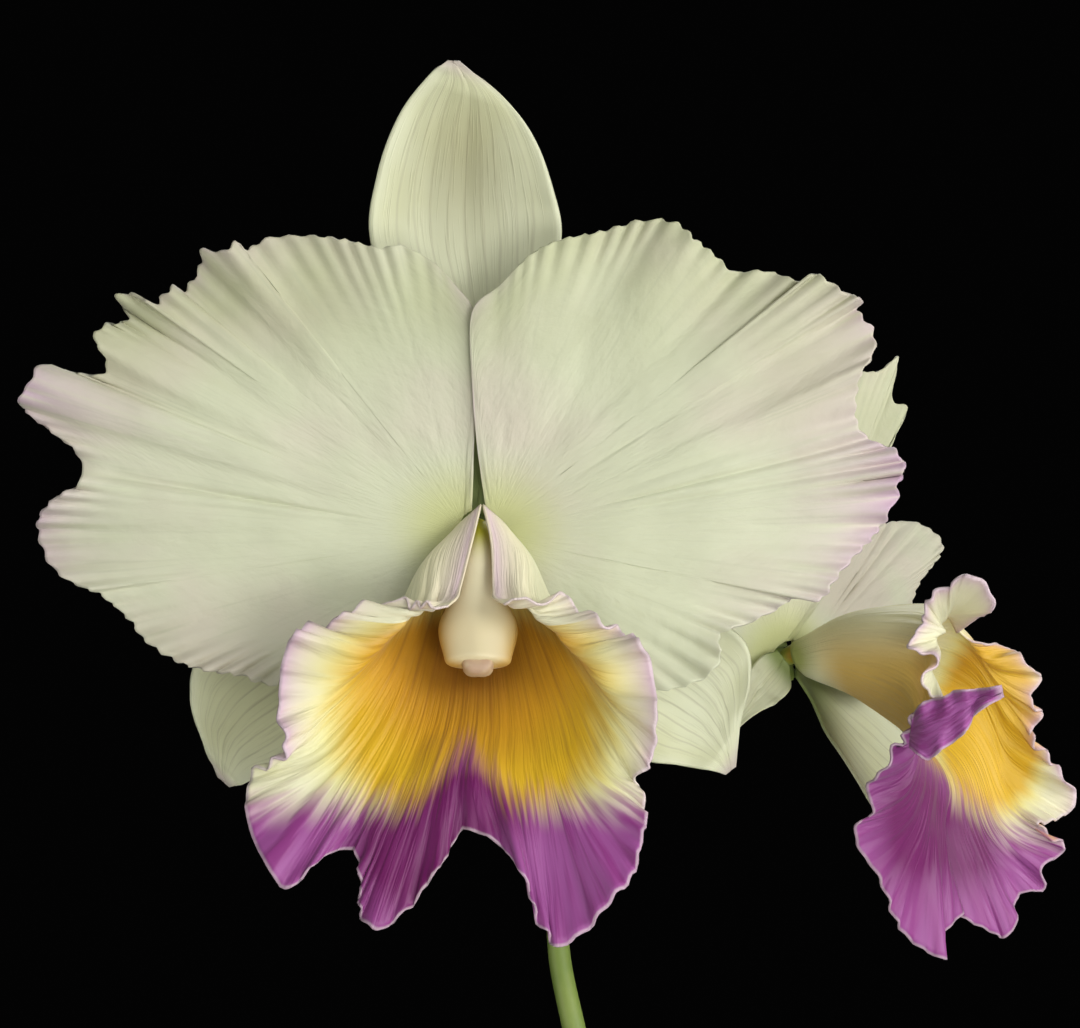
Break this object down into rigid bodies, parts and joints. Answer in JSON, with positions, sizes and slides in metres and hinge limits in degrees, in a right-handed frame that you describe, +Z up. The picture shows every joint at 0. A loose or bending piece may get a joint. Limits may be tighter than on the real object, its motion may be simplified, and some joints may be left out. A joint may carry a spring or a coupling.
{
  "type": "potted cattleya orchid",
  "caption": "Cattleya orchid in a clay pot of bark, with ribbed pseudobulbs, strap leaves and a stem of large ruffled blooms with frilled trumpet lips",
  "frame": {"origin": "centre of the pot's underside", "axes": "+Z up the stem from the pot, main bloom faces -Y, second bloom towards +X"},
  "size_m": [0.3154, 0.1922, 0.4904],
  "materials": {
    "clay": "matte",
    "bark": "matte",
    "rhizome": "matte",
    "pseudobulb": "satin",
    "leaf": "satin",
    "sheath": "matte",
    "stem": "satin",
    "sepal": "matte",
    "petal": "matte",
    "lip": "matte",
    "column": "satin",
    "anther_cap": "satin"
  },
  "bodies": {
    "root": {"pot": "clay", "bark_medium": "bark", "rhizome_and_roots": "rhizome", "pseudobulb_1": "pseudobulb", "pseudobulb_2": "pseudobulb", "pseudobulb_3": "pseudobulb", "pseudobulb_4": "pseudobulb", "leaf_1": "leaf", "leaf_2": "leaf", "leaf_3": "leaf", "leaf_4": "leaf", "sheath": "sheath", "flower_stem": "stem", "main_dorsal_sepal": "sepal", "main_left_sepal": "sepal", "main_right_sepal": "sepal", "main_left_petal": "petal", "main_right_petal": "petal", "main_lip": "lip", "main_column": "column", "main_anther_cap": "anther_cap", "second_dorsal_sepal": "sepal", "second_left_sepal": "sepal", "second_right_sepal": "sepal", "second_left_petal": "petal", "second_right_petal": "petal", "second_lip": "lip", "second_column": "column", "second_anther_cap": "anther_cap"}
  },
  "joints": []
}
